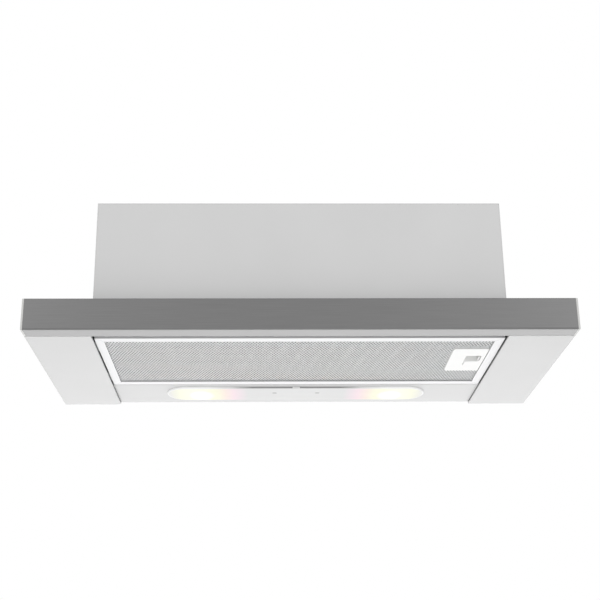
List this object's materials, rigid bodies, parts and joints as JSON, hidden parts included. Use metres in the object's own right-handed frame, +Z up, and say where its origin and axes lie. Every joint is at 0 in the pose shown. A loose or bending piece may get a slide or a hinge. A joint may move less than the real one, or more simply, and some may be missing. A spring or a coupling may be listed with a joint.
{
  "type": "built-in range hood",
  "caption": "Slide-out built-in range hood: a steel-faced drawer with a grease filter, side strips and a lamp strip under a box with twin blowers and a round duct outlet.",
  "frame": {"origin": "centre of the box's footprint on the plane of the underside, with the drawer closed", "axes": "+X to the right as one faces the fascia, +Y from the fascia to the rear wall, +Z up"},
  "size_m": [0.598, 0.28, 0.188],
  "materials": {
    "brushed_steel": "brushed along its length, satin",
    "painted_steel": "light silver-grey powder coat",
    "galvanised_steel": "plain zinc-coated sheet",
    "runner_steel": "bright zinc plate",
    "filter_frame": "pale anodised, satin",
    "filter_mesh": "expanded sheet, mill finish",
    "white_plastic": "fine moulded texture",
    "grey_plastic": "moulded",
    "dark_plastic": "moulded",
    "lamp_cover": "opal, lit from inside",
    "lamp_glass": "frosted",
    "zinc_screw": "zinc-plated",
    "motor_metal": "lacquered laminations"
  },
  "bodies": {
    "hood": {"housing_top": "painted_steel", "housing_front": "painted_steel", "housing_rear": "painted_steel", "housing_side_left": "painted_steel", "housing_side_right": "painted_steel", "side_strip_left": "painted_steel", "side_strip_right": "painted_steel", "filter_well": "galvanised_steel", "fixed_filter_frame": "filter_frame", "fixed_filter_mesh": "filter_mesh", "fixed_filter_pack": "filter_mesh", "fixed_latch_housing": "white_plastic", "lamp_panel": "painted_steel", "lamp_cover": "lamp_cover", "lamp_holder_left": "white_plastic", "lamp_holder_right": "white_plastic", "bulb_left": "lamp_glass", "bulb_right": "lamp_glass", "runner_outer_left": "runner_steel", "runner_outer_right": "runner_steel", "switch_bezel": "dark_plastic", "fan_switch": "dark_plastic", "light_switch": "dark_plastic", "drawer_switch": "dark_plastic", "scroll_left": "dark_plastic", "scroll_right": "dark_plastic", "motor_left": "motor_metal", "motor_right": "motor_metal", "motor_bracket_left": "galvanised_steel", "motor_bracket_right": "galvanised_steel", "outlet_collar": "white_plastic", "junction_box": "dark_plastic", "junction_lid": "dark_plastic", "terminal_block": "white_plastic", "cable_gland": "dark_plastic", "gland_nut": "dark_plastic", "collar_screws": "zinc_screw", "side_screws": "zinc_screw"},
    "drawer": {"fascia": "brushed_steel", "end_cap_left": "grey_plastic", "end_cap_right": "grey_plastic", "drawer_frame": "galvanised_steel", "fascia_nuts": "zinc_screw", "runner_inner_left": "runner_steel", "runner_inner_right": "runner_steel", "drawer_filter_frame": "filter_frame", "drawer_filter_mesh": "filter_mesh", "drawer_filter_pack": "filter_mesh", "drawer_latch_housing": "white_plastic"},
    "middle_left": {"runner_middle_left": "runner_steel"},
    "middle_right": {"runner_middle_right": "runner_steel"},
    "drawer_latch": {"drawer_latch": "grey_plastic"},
    "fixed_latch": {"fixed_latch": "grey_plastic"},
    "fan_knob": {"fan_knob": "grey_plastic"},
    "light_knob": {"light_knob": "grey_plastic"},
    "plunger": {"switch_plunger": "dark_plastic"},
    "impeller_left": {"impeller_left": "dark_plastic"},
    "impeller_right": {"impeller_right": "dark_plastic"},
    "flap_front": {"flap_front": "white_plastic"},
    "flap_rear": {"flap_rear": "white_plastic"}
  },
  "joints": [
    {"name": "drawer_slide", "type": "slide", "parent": "hood", "child": "drawer", "axis": [0, -1, 0], "range_m": [0, 0.165]},
    {"name": "middle_left_slide", "type": "slide", "parent": "hood", "child": "middle_left", "axis": [0, -1, 0], "range_m": [0, 0.0825]},
    {"name": "middle_right_slide", "type": "slide", "parent": "hood", "child": "middle_right", "axis": [0, -1, 0], "range_m": [0, 0.0825]},
    {"name": "plunger_slide", "type": "slide", "parent": "hood", "child": "plunger", "axis": [0, -1, 0], "range_m": [0, 0.002]},
    {"name": "drawer_latch_slide", "type": "slide", "parent": "drawer", "child": "drawer_latch", "axis": [-1, 0, 0], "range_m": [0, 0.004], "stiffness_N_per_m": 100, "springref_m": -0.004},
    {"name": "fixed_latch_slide", "type": "slide", "parent": "hood", "child": "fixed_latch", "axis": [-1, 0, 0], "range_m": [0, 0.004], "stiffness_N_per_m": 100, "springref_m": -0.004},
    {"name": "fan_knob_slide", "type": "slide", "parent": "hood", "child": "fan_knob", "axis": [1, 0, 0], "range_m": [0, 0.015]},
    {"name": "light_knob_slide", "type": "slide", "parent": "hood", "child": "light_knob", "axis": [1, 0, 0], "range_m": [0, 0.006]},
    {"name": "impeller_left_spin", "type": "hinge", "parent": "hood", "child": "impeller_left", "pos_m": [0, 0.04825, 0.09676], "axis": [1, 0, 0], "continuous": true},
    {"name": "impeller_right_spin", "type": "hinge", "parent": "hood", "child": "impeller_right", "pos_m": [0, 0.04825, 0.09676], "axis": [1, 0, 0], "continuous": true},
    {"name": "flap_front_swing", "type": "hinge", "parent": "hood", "child": "flap_front", "pos_m": [0, 0.0076, 0.169], "axis": [-1, 0, 0], "range_deg": [0, 75]},
    {"name": "flap_rear_swing", "type": "hinge", "parent": "hood", "child": "flap_rear", "pos_m": [0, 0.0144, 0.169], "axis": [1, 0, 0], "range_deg": [0, 75]}
  ],
  "couplings": [
    {"joint": "middle_left_slide", "follows": "drawer_slide", "ratio": 0.5},
    {"joint": "middle_right_slide", "follows": "drawer_slide", "ratio": 0.5},
    {"joint": "plunger_slide", "follows": "drawer_slide", "ratio": 0.0121}
  ]
}
